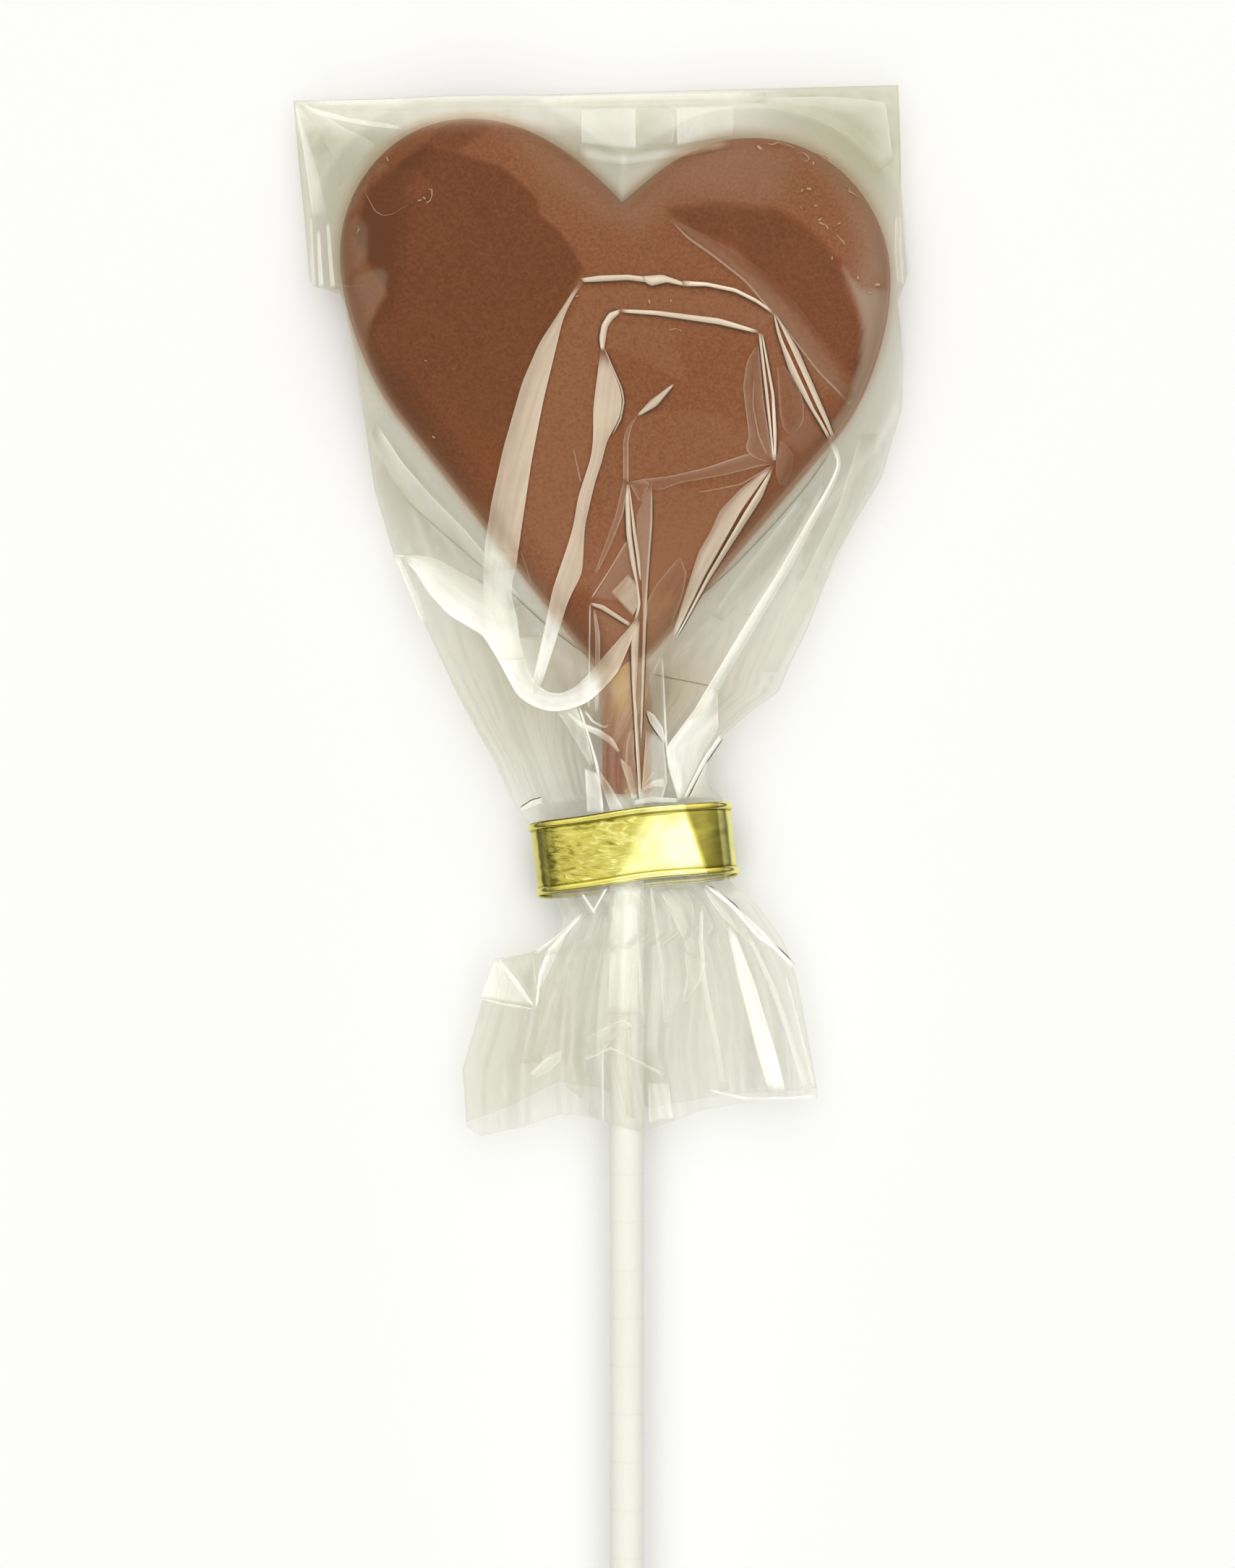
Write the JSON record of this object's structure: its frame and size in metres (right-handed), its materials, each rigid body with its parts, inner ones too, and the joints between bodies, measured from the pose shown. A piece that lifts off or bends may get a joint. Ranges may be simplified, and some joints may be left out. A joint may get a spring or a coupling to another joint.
{
  "type": "chocolate lollipop",
  "caption": "Heart-shaped milk chocolate lollipop on a paper stick, in a clear film bag gathered under the heart and closed with a flat gold tie.",
  "frame": {"origin": "middle of the footprint, on the surface that the lollipop lies on", "axes": "+Y from the stick to the heart, +Z out of the heart's front, +X to the right as seen from the front with the heart up"},
  "size_m": [0.0808, 0.202, 0.0102],
  "materials": {
    "milk_chocolate": "smooth cast milk chocolate with a soft sheen",
    "rolled_paper": "off-white tightly rolled paper, matt",
    "clear_film": "thin clear crinkled film, glossy",
    "gold_foil": "polished gold foil, lightly creased"
  },
  "bodies": {
    "root": {"chocolate_heart": "milk_chocolate", "stick": "rolled_paper", "film_bag": "clear_film", "gold_tie": "gold_foil"}
  },
  "joints": []
}
